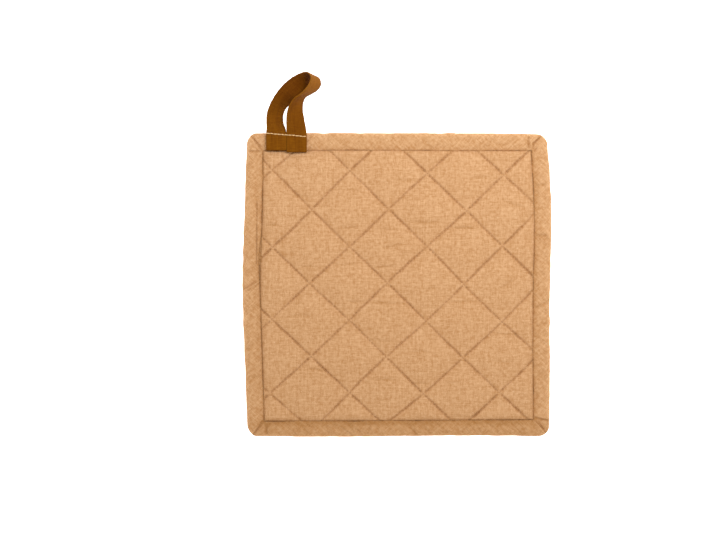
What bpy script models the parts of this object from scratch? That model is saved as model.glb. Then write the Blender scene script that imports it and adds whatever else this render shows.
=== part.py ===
# Square quilted pot holder with a bound edge and a hanging loop of webbing.
#
# It lies face up on a flat surface. +Z is up, +Y runs towards the loop, and
# the origin is under the middle of everything, on the surface.
# Sizes in the tables are millimetres; the meshes are scaled to metres at the end.

import bpy
import bmesh
import math
from collections import namedtuple
from mathutils import Vector, Matrix

NAME = "pot_holder"
MM = 0.001
GAP = 0.3                      # left between pieces that touch

# ---------------------------------------------------------------- sizes, mm
PLACE = (0.0, 0.23, 0.0)       # brings the middle of everything over the origin
PAD_MIDDLE = (0.0, -21.2)      # middle of the square, seen from above
OUTER_HALF = (110.0, 109.35)   # half width and half height of the bound square
OUTER_RADIUS = 8.0             # its corners
SEAM_HALF = (97.4, 97.3)       # where the binding's inner edge is sewn down
SEAM_RADIUS = 0.6
FLANGE_HALF = 104.2            # how far the filled pad runs on inside the binding
FLANGE_CHAMFER = 4.0

PUFF_TOP = 8.4                 # crown of a quilted diamond above the surface
CHANNEL_TOP = 5.3              # top of the pad in a sewn line
CHANNEL_FLOOR = 1.2            # underside of the pad in a sewn line
FLANGE_TOP = 4.6               # the pad is pressed flat inside the binding
FLANGE_FLOOR = 1.7
PUFF_REACH = 13.2              # from a sewn line to the crown
EDGE_REACH = 12.0              # from the binding to the full height

TAPE_WIDTH = 14.3
TAPE_THICK = 1.1
TAPE_UNDER = 6.7               # underside of the turned-under tape ends
FOLD_GAP = 0.3                 # between the two layers of a turned-under end
TUCK_LENGTH = 8.5

# How far each side runs outside (+) or inside (-) its nominal straight line,
# read at five places from its start: the left and right sides start at the
# bottom, the top and bottom sides start at the left.
Side = namedtuple("Side", "name at_start at_quarter at_middle at_three_quarters at_end")
OUTER_SIDES = [
    Side("left",   -2.4, -0.4,  1.3, -0.1, -2.1),
    Side("right",  -0.4,  0.1,  0.2,  1.2, -2.0),
    Side("top",     0.0,  0.1,  0.0,  0.0, -0.8),
    Side("bottom", -0.6,  0.0, -0.5, -0.9, -0.4),
]
SEAM_SIDES = [
    Side("left",   -1.7, -0.3,  1.2, -0.2, -0.9),
    Side("right",   0.8,  0.5,  0.7,  1.5, -0.8),
    Side("top",    -0.6, -0.3, -0.3, -0.6, -0.6),
    Side("bottom",  0.7,  0.6,  0.4,  0.0, -0.3),
]

# Straight rows of quilting stitches: the direction each runs in, and how far
# it passes from the middle of the square.
Row = namedtuple("Row", "name angle offset")
QUILTING = [
    Row("rise_1", 45.8, 120.9),
    Row("rise_2", 44.3, 82.2),
    Row("rise_3", 43.1, 44.2),
    Row("rise_4", 43.3, 5.7),
    Row("rise_5", 44.2, -32.5),
    Row("rise_6", 42.6, -70.4),
    Row("rise_7", 45.0, -107.4),
    Row("fall_1", -42.9, 110.8),
    Row("fall_2", -44.1, 73.6),
    Row("fall_3", -44.4, 35.3),
    Row("fall_4", -44.3, -3.3),
    Row("fall_5", -44.1, -42.0),
    Row("fall_6", -43.7, -79.3),
    Row("fall_7", -43.1, -119.3),
]
BETWEEN_ROWS = (0.13, 0.31, 0.5, 0.69, 0.87)   # extra mesh lines over a puff

# The binding is a strip folded round the edge: its section, from the sewn
# inner edge on top, round the outside, to the slot that holds the pad.
# across: 0 at the outer edge, 1 at the seam. height: above the surface.
Section = namedtuple("Section", "name across height")
BINDING = [
    Section("top_inner_edge",    1.00, 5.70),
    Section("top_inner_crown",   0.75, 6.20),
    Section("top_crown",         0.45, 6.40),
    Section("top_shoulder",      0.18, 5.85),
    Section("outer_upper",       0.04, 4.60),
    Section("outer_middle",      0.00, 3.20),
    Section("outer_lower",       0.04, 1.60),
    Section("bottom_shoulder",   0.14, 0.40),
    Section("bottom_flat_out",   0.24, 0.00),
    Section("bottom_flat_in",    1.00, 0.00),
    Section("slot_floor_mouth",  1.00, 1.35),
    Section("slot_floor_end",    0.23, 1.35),
    Section("slot_end_low",      0.16, 2.20),
    Section("slot_end_high",     0.16, 4.00),
    Section("slot_roof_end",     0.23, 4.95),
    Section("slot_roof_mouth",   1.00, 4.95),
]

# The loop is one length of webbing. Each end is turned under and sewn to the
# front of the top left corner, side by side. x, y, z: middle of the tape.
# turn and rise: where the raised selvedge points, in plan and above level.
Station = namedtuple("Station", "name x y z turn rise")
LOOP = [
    Station("left_seam",   -86.7,  87.1,  8.65, 180,  0),
    Station("left_step",   -86.9,  90.9,  8.3,  179, 22),
    Station("left_low",    -87.8,  96.9,  6.4,  175, 35),
    Station("left_rise",   -87.4, 102.5,  6.2,  173, 38),
    Station("left_lean",   -85.3, 107.3,  7.9,  169, 36),
    Station("left_high",   -82.4, 110.8, 10.7,  159, 27),
    Station("climb",       -79.4, 113.9, 13.6,  148, 14),
    Station("climb_high",  -76.7, 116.5, 16.8,  138,  6),
    Station("sweep",       -73.2, 119.4, 19.5,  135, 12),
    Station("crown_in",    -69.7, 122.5, 21.0,  140, 29),
    Station("crown",       -66.4, 125.9, 21.6,  147, 52),
    Station("crown_turn",  -62.2, 128.7, 22.5,  162, 70),
    Station("tip_out",     -58.7, 126.3, 24.0,  176, 66),
    Station("tip",         -58.7, 121.3, 23.7,  181, 55),
    Station("tip_under",   -61.8, 117.3, 21.3,  184, 53),
    Station("right_neck",  -65.8, 114.7, 18.2,  191, 54),
    Station("right_high",  -69.8, 112.3, 15.0,  194, 54),
    Station("right_mid",   -72.2, 108.0, 12.4,  190, 49),
    Station("right_lean",  -73.2, 102.7, 10.7,  186, 38),
    Station("right_low",   -73.0,  97.1, 10.0,  184, 27),
    Station("right_step",  -72.5,  91.6,  9.2,  182, 15),
    Station("right_seam",  -72.1,  86.1,  8.65, 180,  0),
]
# Where each turned-under end folds back, along Y.
FOLD_Y = {"left": 76.0, "right": 74.7}


# ---------------------------------------------------------------- small tools
def smooth_curve(stations, values, steps):
    """Points on a cubic curve through rows of numbers, steps to each span."""
    knots = [0.0]
    for a, b in zip(stations[:-1], stations[1:]):
        knots.append(knots[-1] + math.dist(a, b))
    last = len(values) - 1
    slopes = []
    for i in range(len(values)):
        lo, hi = max(i - 1, 0), min(i + 1, last)
        span = knots[hi] - knots[lo]
        slopes.append([(q - p) / span for p, q in zip(values[lo], values[hi])])
    out = []
    for i in range(last):
        span = knots[i + 1] - knots[i]
        for k in range(steps):
            t = k / steps
            h0 = 2 * t ** 3 - 3 * t ** 2 + 1
            h1 = t ** 3 - 2 * t ** 2 + t
            h2 = -2 * t ** 3 + 3 * t ** 2
            h3 = t ** 3 - t ** 2
            out.append([h0 * p + h1 * span * m + h2 * q + h3 * span * n
                        for p, m, q, n in zip(values[i], slopes[i],
                                              values[i + 1], slopes[i + 1])])
    out.append(list(values[last]))
    return out


def side_offset(sides, name, fraction):
    """How far a side strays from its straight line at a fraction of its length."""
    row = next(s for s in sides if s.name == name)
    reading = row[1:]
    place = min(max(fraction, 0.0), 1.0) * (len(reading) - 1)
    i = min(int(place), len(reading) - 2)
    t = place - i
    lo = reading[max(i - 1, 0)]
    a, b = reading[i], reading[i + 1]
    hi = reading[min(i + 2, len(reading) - 1)]
    m0 = (b - lo) / (2 if i > 0 else 1)
    m1 = (hi - a) / (2 if i + 2 < len(reading) else 1)
    return ((2 * t ** 3 - 3 * t ** 2 + 1) * a + (t ** 3 - 2 * t ** 2 + t) * m0
            + (-2 * t ** 3 + 3 * t ** 2) * b + (t ** 3 - t ** 2) * m1)


def outline(half, radius, sides, per_side=8, per_corner=5):
    """One turn round the square, anticlockwise from the right side's start."""
    hx, hy = half
    points = []

    def shift(x, y, x_side, y_side):
        fx = (x / hx + 1) / 2
        fy = (y / hy + 1) / 2
        dx = side_offset(sides, x_side, fy) * (1 if x_side == "right" else -1)
        dy = side_offset(sides, y_side, fx) * (1 if y_side == "top" else -1)
        return x + dx, y + dy

    corners = [("right", "top", 1, 1, 0.0), ("left", "top", -1, 1, 90.0),
               ("left", "bottom", -1, -1, 180.0), ("right", "bottom", 1, -1, 270.0)]
    for x_side, y_side, sx, sy, start in corners:
        cx, cy = sx * (hx - radius), sy * (hy - radius)
        for k in range(per_corner + 1):
            a = math.radians(start + 90.0 * k / per_corner)
            x, y = cx + radius * math.cos(a), cy + radius * math.sin(a)
            points.append(shift(x, y, x_side, y_side))
        # the straight run that follows this corner
        if start == 0.0:
            run = [((hx - radius) * (1 - 2 * k / per_side), hy) for k in range(1, per_side)]
            points += [(x, y + side_offset(sides, "top", (x / hx + 1) / 2)) for x, y in run]
        elif start == 90.0:
            run = [(-hx, (hy - radius) * (1 - 2 * k / per_side)) for k in range(1, per_side)]
            points += [(x - side_offset(sides, "left", (y / hy + 1) / 2), y) for x, y in run]
        elif start == 180.0:
            run = [((hx - radius) * (2 * k / per_side - 1), -hy) for k in range(1, per_side)]
            points += [(x, y - side_offset(sides, "bottom", (x / hx + 1) / 2)) for x, y in run]
        else:
            run = [(hx, (hy - radius) * (2 * k / per_side - 1)) for k in range(1, per_side)]
            points += [(x + side_offset(sides, "right", (y / hy + 1) / 2), y) for x, y in run]
    return points


def material(name, colour, roughness):
    mat = bpy.data.materials.new(name)
    mat.use_nodes = True
    shader = mat.node_tree.nodes["Principled BSDF"]
    shader.inputs["Base Color"].default_value = (*colour, 1.0)
    shader.inputs["Roughness"].default_value = roughness
    shader.inputs["Metallic"].default_value = 0.0
    mat.diffuse_color = (*colour, 1.0)
    return mat


def add_object(name, bm, mat, collection, parent, location):
    """Turn a mesh in millimetres into an object in metres."""
    bmesh.ops.recalc_face_normals(bm, faces=bm.faces[:])
    bm.transform(Matrix.Scale(MM, 4))
    mesh = bpy.data.meshes.new(name)
    bm.to_mesh(mesh)
    bm.free()
    mesh.shade_smooth()
    obj = bpy.data.objects.new(name, mesh)
    obj.data.materials.append(mat)
    obj.location = Vector(location) * MM
    obj.parent = parent
    collection.objects.link(obj)
    return obj


# ---------------------------------------------------------------- quilted pad
def row_distance(row, x, y):
    a = math.radians(row.angle)
    return -math.sin(a) * x + math.cos(a) * y - row.offset


def dome(distance, reach):
    """0 on a sewn line, rising steeply at first, 1 at the crown."""
    t = min(max(distance / reach, 0.0), 1.0)
    return math.sqrt(1.0 - (1.0 - t) ** 2)


def pad_heights(x, y):
    """Top and underside of the pad at a point about the pad's middle."""
    inside = min(SEAM_HALF[0] - abs(x), SEAM_HALF[1] - abs(y))
    if inside <= 0.35:
        return FLANGE_TOP, FLANGE_FLOOR
    edge = dome(inside, EDGE_REACH)
    rise = dome(min(abs(row_distance(r, x, y)) for r in QUILTING if r.angle > 0), PUFF_REACH)
    fall = dome(min(abs(row_distance(r, x, y)) for r in QUILTING if r.angle < 0), PUFF_REACH)
    puff = rise * fall * edge
    top = FLANGE_TOP + (CHANNEL_TOP - FLANGE_TOP) * edge + (PUFF_TOP - CHANNEL_TOP) * puff
    floor = FLANGE_FLOOR - (FLANGE_FLOOR - CHANNEL_FLOOR) * edge - 2.2 * puff
    return top, max(floor, 0.0)


def follow_seam(x, y):
    """Bend the straight-sided pad so that its edge follows the binding's seam."""
    fx = min(max((x / SEAM_HALF[0] + 1) / 2, 0.0), 1.0)
    fy = min(max((y / SEAM_HALF[1] + 1) / 2, 0.0), 1.0)
    dx = (side_offset(SEAM_SIDES, "right", fy) * fx
          - side_offset(SEAM_SIDES, "left", fy) * (1 - fx))
    dy = (side_offset(SEAM_SIDES, "top", fx) * fy
          - side_offset(SEAM_SIDES, "bottom", fx) * (1 - fy))
    return x + dx, y + dy


def cut(bm, point, normal, clear=False):
    bmesh.ops.bisect_plane(bm, geom=bm.verts[:] + bm.edges[:] + bm.faces[:],
                           dist=0.02, plane_co=(point[0], point[1], 0.0),
                           plane_no=(normal[0], normal[1], 0.0), clear_outer=clear)


def cut_row(bm, angle, offset):
    a = math.radians(angle)
    normal = (-math.sin(a), math.cos(a))
    cut(bm, (normal[0] * offset, normal[1] * offset), normal)


def build_pad(mat, collection, parent):
    bm = bmesh.new()
    bmesh.ops.create_grid(bm, x_segments=1, y_segments=1, size=FLANGE_HALF)
    # corners taken off, inside the binding
    reach = (2 * FLANGE_HALF - FLANGE_CHAMFER) / math.sqrt(2)
    for sx in (-1, 1):
        for sy in (-1, 1):
            n = (sx / math.sqrt(2), sy / math.sqrt(2))
            cut(bm, (n[0] * reach, n[1] * reach), n, clear=True)
    # mesh lines on the sewn rows and over the puffs between them
    for family in ([r for r in QUILTING if r.angle > 0], [r for r in QUILTING if r.angle < 0]):
        family = sorted(family, key=lambda r: r.offset)
        for row in family:
            cut_row(bm, row.angle, row.offset)
        for a, b in zip(family[:-1], family[1:]):
            for t in BETWEEN_ROWS:
                cut_row(bm, a.angle * (1 - t) + b.angle * t, a.offset * (1 - t) + b.offset * t)
    # mesh lines along the binding's seam
    for side in (-1, 1):
        for inset in (0.3, 1.6, 5.0):
            cut(bm, (side * (SEAM_HALF[0] - inset), 0), (side, 0))
            cut(bm, (0, side * (SEAM_HALF[1] - inset)), (0, side))
    bmesh.ops.remove_doubles(bm, verts=bm.verts[:], dist=0.1)
    # a second layer above the first, closed round the rim
    under = list(bm.verts)
    result = bmesh.ops.extrude_face_region(bm, geom=bm.faces[:])
    over = {v for v in result["geom"] if isinstance(v, bmesh.types.BMVert)}
    for v in bm.verts:
        top, floor = pad_heights(v.co.x, v.co.y)
        x, y = follow_seam(v.co.x, v.co.y)
        v.co = (x, y, top if v in over else floor)
    return add_object("pad", bm, mat, collection, parent, (*PAD_MIDDLE, 0.0))


# ---------------------------------------------------------------- binding
def build_binding(mat, collection, parent):
    outer = outline(OUTER_HALF, OUTER_RADIUS, OUTER_SIDES)
    seam = outline(SEAM_HALF, SEAM_RADIUS, SEAM_SIDES)
    bm = bmesh.new()
    rings = []
    for section in BINDING:
        t = section.across
        rings.append([bm.verts.new((p[0] * (1 - t) + q[0] * t, p[1] * (1 - t) + q[1] * t,
                                    section.height)) for p, q in zip(outer, seam)])
    count = len(outer)
    for ring, after in zip(rings, rings[1:] + rings[:1]):
        for i in range(count):
            j = (i + 1) % count
            bm.faces.new((ring[i], ring[j], after[j], after[i]))
    return add_object("binding", bm, mat, collection, parent, (*PAD_MIDDLE, 0.0))


# ---------------------------------------------------------------- webbing loop
def tape_path():
    """Middle of the tape and the direction of its raised selvedge, end to end."""
    lower = TAPE_UNDER + TAPE_THICK / 2
    upper = lower + TAPE_THICK + FOLD_GAP
    radius = (upper - lower) / 2
    level = Vector((-1, 0, 0))

    def turned_under(x, fold_y):
        """From the raw end, round the fold and up on to the visible layer."""
        run = [(Vector((x, fold_y + TUCK_LENGTH, lower)), level),
               (Vector((x, fold_y + TUCK_LENGTH / 2, lower)), level)]
        for k in range(7):
            a = math.radians(-90 - 180 * k / 6)
            run.append((Vector((x, fold_y + radius * math.cos(a),
                                (lower + upper) / 2 + radius * math.sin(a))), level))
        run.append((Vector((x, fold_y + 5.0, upper)), level))
        return run

    first, last = LOOP[0], LOOP[-1]
    places = [(s.x, s.y, s.z) for s in LOOP]
    # the ends carry on straight down the pad, so the curve leaves them level
    ahead = [(first.x, first.y - 4.0, first.z)] + places + [(last.x, last.y - 4.0, last.z)]
    angles = [(first.turn, 0)] + [(s.turn, s.rise) for s in LOOP] + [(last.turn, 0)]
    steps = 3
    middles = smooth_curve(ahead, ahead, steps)[steps:-steps]
    leans = smooth_curve(ahead, angles, steps)[steps:-steps]
    free = []
    for middle, (turn, rise) in zip(middles, leans):
        a, b = math.radians(turn), math.radians(rise)
        free.append((Vector(middle), Vector((math.cos(a) * math.cos(b),
                                             math.sin(a) * math.cos(b), math.sin(b)))))
    path = turned_under(first.x, FOLD_Y["left"]) + free
    path += turned_under(last.x, FOLD_Y["right"])[::-1]
    return path


def build_loop(mat, collection, parent):
    path = tape_path()
    # square the selvedge direction to the run of the tape
    frames = []
    for i, (middle, up) in enumerate(path):
        run = path[min(i + 1, len(path) - 1)][0] - path[max(i - 1, 0)][0]
        run.normalize()
        up = (up - run * up.dot(run)).normalized()
        frames.append((middle, up))
    bm = bmesh.new()
    bmesh.ops.create_grid(bm, x_segments=2, y_segments=len(frames) - 1, size=1.0)
    order = sorted(bm.verts, key=lambda v: (round(v.co.y, 6), v.co.x))
    for i, (middle, up) in enumerate(frames):
        for j, across in enumerate((0.5, 0.0, -0.5)):
            order[3 * i + j].co = middle + up * (across * TAPE_WIDTH)
    obj = add_object("loop", bm, mat, collection, parent, (0.0, 0.0, 0.0))
    thick = obj.modifiers.new("webbing", "SOLIDIFY")
    thick.thickness = TAPE_THICK * MM
    thick.offset = 0.0
    thick.use_even_offset = True
    return obj


# ---------------------------------------------------------------- assembly
def main():
    for obj in list(bpy.data.objects):
        bpy.data.objects.remove(obj, do_unlink=True)
    collection = bpy.data.collections.new(NAME)
    bpy.context.scene.collection.children.link(collection)
    parent = bpy.data.objects.new(NAME + "_origin", None)
    parent.location = Vector(PLACE) * MM
    collection.objects.link(parent)

    cloth = material("cloth", (0.66, 0.37, 0.17), 0.95)
    binding_cloth = material("binding_cloth", (0.70, 0.40, 0.19), 0.95)
    webbing = material("webbing", (0.19, 0.07, 0.01), 0.9)

    build_pad(cloth, collection, parent)
    build_binding(binding_cloth, collection, parent)
    build_loop(webbing, collection, parent)
    bpy.context.view_layer.update()


main()
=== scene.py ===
import math
from collections import namedtuple

import bmesh
import bpy
import numpy as np
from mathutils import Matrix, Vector


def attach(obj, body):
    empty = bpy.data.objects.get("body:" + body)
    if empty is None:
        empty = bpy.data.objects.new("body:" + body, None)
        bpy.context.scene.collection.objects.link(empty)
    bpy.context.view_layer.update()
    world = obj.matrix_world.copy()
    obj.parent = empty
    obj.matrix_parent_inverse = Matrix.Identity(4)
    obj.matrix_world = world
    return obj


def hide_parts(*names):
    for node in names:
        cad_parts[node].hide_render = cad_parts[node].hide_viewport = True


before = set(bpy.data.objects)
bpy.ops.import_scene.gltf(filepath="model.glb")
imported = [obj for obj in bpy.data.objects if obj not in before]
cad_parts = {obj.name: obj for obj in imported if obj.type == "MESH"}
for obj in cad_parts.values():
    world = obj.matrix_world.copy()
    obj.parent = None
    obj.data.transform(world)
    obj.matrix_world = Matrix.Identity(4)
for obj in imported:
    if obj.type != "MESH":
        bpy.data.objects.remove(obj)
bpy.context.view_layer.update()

MM = 0.001
PLACE = (0.0, 0.23)
PAD_MIDDLE = (0.0, -21.2)
MIDDLE = (PLACE[0] + PAD_MIDDLE[0], PLACE[1] + PAD_MIDDLE[1])

# ------------------------------------------------------------------ camera
# Straight above, as in the photograph: one pixel is 0.72 mm on the cloth.
PIXEL = 0.72
LENS, SENSOR, WIDE = 100.0, 36.0, 716.0
FOCAL = LENS / SENSOR * WIDE
camera = bpy.data.cameras.new("camera")
camera.lens, camera.sensor_width, camera.sensor_fit = LENS, SENSOR, "HORIZONTAL"
camera.clip_start, camera.clip_end = 0.05, 20.0
camera_object = bpy.data.objects.new("camera", camera)
camera_object.location = (-28.08 * MM, (-10.40 + PLACE[1]) * MM, (FOCAL * PIXEL + 3.5) * MM)
bpy.context.scene.collection.objects.link(camera_object)
bpy.context.scene.camera = camera_object

# ------------------------------------------------------------------ sizes, mm
OUTER_HALF = (110.0, 109.35)
OUTER_RADIUS = 8.0
SEAM_HALF = (97.4, 97.3)
SEAM_RADIUS = 0.6
PER_SIDE, PER_CORNER = 340, 44 # steps of the binding's mesh
FLANGE_RUN = 3.0               # how far the pad's edge shows inside the binding
PUFF_TOP, CHANNEL_TOP, FLANGE_TOP = 7.9, 5.9, 3.85
CHANNEL_FLOOR, FLANGE_FLOOR = 1.0, 1.7
PUFF_REACH, EDGE_REACH = 16.5, 5.5
PINCH_DEEP, PINCH_WIDE = 0.84, 0.80   # the thread's own bite into a sewn line
CROSSING = 2.8                        # how far from a crossing the bite fades

Side = namedtuple("Side", "name at_start at_quarter at_middle at_three_quarters at_end")
OUTER_SIDES = [
    Side("left",   -2.4, -0.4,  1.3, -0.1, -2.1),
    Side("right",  -0.4,  0.1,  0.2,  1.2, -2.0),
    Side("top",     0.0,  0.1,  0.0,  0.0, -0.8),
    Side("bottom", -0.6,  0.0, -0.5, -0.9, -0.4),
]
SEAM_SIDES = [
    Side("left",   -1.7, -0.3,  1.2, -0.2, -0.9),
    Side("right",   0.8,  0.5,  0.7,  1.5, -0.8),
    Side("top",    -0.6, -0.3, -0.3, -0.6, -0.6),
    Side("bottom",  0.7,  0.6,  0.4,  0.0, -0.3),
]

# Rows of quilting: direction, distance from the middle, where the row starts
# and ends along itself, how hard it is pulled in, and how far it strays
# sideways at five places between its ends.
Row = namedtuple("Row", "name angle offset start end pull s0 s1 s2 s3 s4")
QUILTING = [
    Row("rise_1", 45.8,  120.9,  -14,  16, 0.80,  2.0,  1.5,  0.7, -0.1, -0.4),
    Row("rise_2", 44.3,   82.2,  -55,  54, 1.38,  0.1, -0.6, -0.3,  0.1,  0.1),
    Row("rise_3", 43.1,   44.2,  -91,  94, 1.00, -0.6, -0.4, -0.8, -0.3, -0.9),
    Row("rise_4", 43.3,    5.7, -127, 132, 1.06,  0.4, -0.7,  0.2, -1.2, -0.4),
    Row("rise_5", 44.2,  -32.5, -107, 105, 0.87,  0.2,  1.2, -0.9, -0.6,  0.3),
    Row("rise_6", 42.6,  -70.4,  -68,  69, 0.95,  1.9, -0.2, -0.2, -0.4,  1.4),
    Row("rise_7", 45.0, -107.4,  -31,  31, 1.40,  1.6,  1.0,  0.7,  0.2, -0.1),
    Row("fall_1", -42.9, 110.8,  -23,  31, 0.95, -0.9, -0.8, -0.7, -0.8, -0.8),
    Row("fall_2", -44.1,  73.6,  -62,  65, 1.20, -1.0, -1.0, -0.7, -0.9, -1.0),
    Row("fall_3", -44.4,  35.3, -101, 102, 0.95, -0.3, -0.6, -0.6, -1.7, -0.4),
    Row("fall_4", -44.3,  -3.3, -131, 135, 0.95,  0.1, -1.0, -0.6, -1.2, -0.2),
    Row("fall_5", -44.1, -42.0,  -94,  96, 0.83, -0.9, -1.0, -0.3, -1.0, -0.9),
    Row("fall_6", -43.7, -79.3,  -57,  58, 1.20, -0.9, -0.7, -0.6, -0.3, -0.2),
    Row("fall_7", -43.1, -119.3, -22,  16, 1.05, -0.4, -0.1,  0.3,  0.6,  0.8),
]
# Distances from a sewn row at which the pad's mesh has a line.
MESH_STEPS = (0.0, 0.3, 0.62, 1.0, 1.5, 2.1, 2.9, 3.9, 5.1, 6.5, 8.1, 9.8, 11.6, 13.4, 15.3, 17.2)
ROW_SPACING = 38.25

# Creases that lie in the cloth between the rows, as it was pressed in the
# sewing: middle, length, direction, how wide and how deep.
Crease = namedtuple("Crease", "x y length angle wide deep")
CREASES = [
    Crease(-90, 43, 10,   2, 1.6, 0.16), Crease(-34, 41, 11,   1, 1.5, 0.18),
    Crease( 21, 45, 18,   0, 2.2, 0.17), Crease( 48, 41, 15,  -3, 1.5, 0.26),
    Crease( 84, 58, 17, -20, 2.0, 0.16), Crease( -6, 40, 13,   0, 1.4, 0.15),
    Crease( -3, 28, 14,   8, 1.5, 0.17), Crease(-9, 13, 14,   0, 1.3, 0.16),
    Crease(-65, 13, 12,   0, 1.5, 0.14), Crease(-36, 15, 18,   4, 1.6, 0.13),
    Crease(-30, -12, 11,  0, 1.7, 0.16), Crease( -5, -13, 23, -2, 1.8, 0.18),
    Crease( 47, -12, 17,  0, 1.8, 0.17), Crease( 24, -3, 10,  22, 1.8, 0.14),
    Crease( 78,   0, 13, 30, 2.0, 0.15), Crease( 17, -48, 14, -3, 1.5, 0.15),
    Crease( 77, -35, 17, -4, 1.6, 0.15), Crease(-58, -61, 12, -8, 1.6, 0.17),
    Crease(-9, -68, 17,  -3, 2.0, 0.16), Crease( 39, -69, 10,  0, 1.4, -0.16),
    Crease(-33, 68, 13,  -6, 1.8, 0.12), Crease( 77, -55, 15,  0, 1.8, 0.13),
    Crease( 17, -71, 10,  0, 1.5, 0.14), Crease(-70, -22, 16,  3, 2.2, 0.12),
    Crease( 60, 77, 14,   3, 2.2, 0.12), Crease(  6, 75, 16,   2, 2.4, 0.12),
    Crease(-70, 64, 14,  -4, 2.0, 0.12), Crease(-12, -40, 18, -2, 2.2, 0.10),
]

# The binding's section: 0 at its outer edge, 1 at the seam.
Section = namedtuple("Section", "name across height")
BINDING = [
    Section("top_edge_low",     1.006, 4.05),
    Section("top_edge",         1.004, 4.35),
    Section("top_edge_round",   0.985, 4.66),
    Section("top_edge_high",    0.95,  4.94),
    Section("top_slope_low",    0.89,  5.28),
    Section("top_slope",        0.79,  5.72),
    Section("top_slope_high",   0.67,  6.06),
    Section("top_crown",        0.53,  6.32),
    Section("top_crown_out",    0.40,  6.40),
    Section("top_shoulder_in",  0.29,  6.27),
    Section("top_shoulder",     0.195, 5.92),
    Section("top_shoulder_out", 0.12,  5.35),
    Section("outer_upper",      0.06,  4.65),
    Section("outer_mid_high",   0.015, 3.85),
    Section("outer_middle",     0.0,   3.05),
    Section("outer_mid_low",    0.012, 2.25),
    Section("outer_lower",      0.05,  1.45),
    Section("bottom_round",     0.11,  0.75),
    Section("bottom_shoulder",  0.18,  0.28),
    Section("bottom_flat_out",  0.27,  0.02),
    Section("bottom_flat",      0.50,  0.02),
    Section("bottom_flat_in",   0.74,  0.02),
    Section("bottom_pull_out",  0.83,  0.10),
    Section("bottom_pull",      0.885, 0.42),
    Section("bottom_pull_in",   0.93,  0.12),
    Section("bottom_edge",      0.985, 0.08),
    Section("bottom_edge_in",   1.004, 0.45),
    Section("slot_floor_mouth", 1.004, 1.25),
    Section("slot_floor_mid",   0.60,  1.30),
    Section("slot_floor_end",   0.25,  1.35),
    Section("slot_end",         0.17,  3.10),
    Section("slot_roof_end",    0.25,  4.15),
    Section("slot_roof_mid",    0.60,  4.05),
]

# Folds and creases in the binding, from one point to another about the
# middle of the square: how wide, how deep, and how far the cloth on its left
# stands above the cloth on its right.
Fold = namedtuple("Fold", "name x0 y0 x1 y1 wide deep lap")
FOLDS = [
    Fold("mitre_top_left",      -97.0,  97.2, -104.8, 107.0, 0.50, 0.85,  0.35),
    Fold("mitre_top_right",      98.6, 102.4,  104.4, 107.6, 0.45, 0.75,  0.40),
    Fold("mitre_bottom_left",   -96.4, -98.4, -103.6, -107.4, 0.50, 0.85, -0.60),
    Fold("mitre_bottom_right",  99.6, -97.2, 107.2, -106.4, 0.50, 0.80, -0.65),
    Fold("cross_top_left",      -98.0,  96.1, -105.6,  96.0, 0.55, 0.60,  0.18),
    Fold("cross_top_right",      94.6,  98.6,  94.4, 105.9, 0.55, 0.60,  0.25),
    Fold("tuck_top_right_1",     98.0, 101.6,  97.6,  98.4, 0.55, 0.65, -0.20),
    Fold("tuck_top_right_2",    100.2,  98.2,  98.9,  96.0, 0.50, 0.50, -0.15),
    Fold("cross_bottom_left",   -94.2, -98.4, -94.0, -106.6, 0.78, 1.00,  0.40),
    Fold("near_bottom_left",    -92.2, -99.4, -92.0, -105.2, 0.60, 0.30,  0.00),
    Fold("cross_bottom_right",   98.2, -95.4, 108.4, -97.2, 0.55, 0.85,  0.35),
    Fold("join_upper",          -99.2,   3.6, -109.6,  -3.0, 0.50, 0.55,  0.35),
    Fold("join_lower",          -99.4,   0.8, -107.2,  -4.2, 0.50, 0.45,  0.10),
    Fold("join_start",          -99.6,  15.4, -107.6,   9.2, 0.70, 0.24,  0.12),
    Fold("dent_right_1",        101.0,  71.2, 106.5,  72.0, 0.80, 0.39,  0.00),
    Fold("dent_right_2",        100.8,  54.6, 106.0,  55.2, 0.90, 0.22,  0.00),
    Fold("dent_right_3",        100.6,  35.4, 106.8,  35.6, 0.70, 0.45,  0.06),
    Fold("dent_right_4",        100.6, -16.6, 109.0, -10.8, 1.00, 0.36,  0.06),
    Fold("dent_right_5",        100.6, -30.0, 107.0, -27.5, 1.00, 0.16,  0.00),
    Fold("dent_right_6",        100.6, -66.0, 108.5, -60.5, 1.00, 0.20,  0.00),
    Fold("dent_left_1",         -99.5,  62.5, -105.0, 63.5, 0.80, 0.18,  0.00),
    Fold("dent_left_2",         -99.5, -40.5, -107.5, -46.0, 0.90, 0.22,  0.05),
    Fold("dent_left_3",         -98.5, -66.5, -104.5, -67.0, 0.80, 0.20,  0.00),
    Fold("dent_bottom_1",       -36.0, -99.0, -31.0, -106.0, 0.90, 0.36,  0.05),
    Fold("dent_bottom_2",       -19.0, -98.8, -20.5, -104.8, 0.80, 0.34,  0.00),
    Fold("dent_bottom_3",         7.0, -99.0,  14.0, -107.5, 0.80, 0.34,  0.06),
    Fold("dent_bottom_4",        22.5, -99.4,  28.0, -105.5, 1.10, 0.20,  0.00),
    Fold("dent_bottom_5",        52.0, -99.0,  47.0, -105.5, 0.90, 0.22,  0.00),
    Fold("dent_bottom_6",        76.0, -99.0,  72.0, -106.0, 0.90, 0.18,  0.00),
    Fold("dent_bottom_7",       -62.0, -99.4, -67.0, -106.5, 0.90, 0.18,  0.00),
    Fold("dent_top_1",          -18.0,  98.6, -12.0, 104.5, 1.00, 0.18,  0.00),
    Fold("dent_top_2",           24.0,  98.4,  19.0, 105.5, 1.00, 0.16,  0.00),
    Fold("dent_top_3",           64.0,  98.4,  69.0, 104.5, 0.90, 0.20,  0.00),
]
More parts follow.
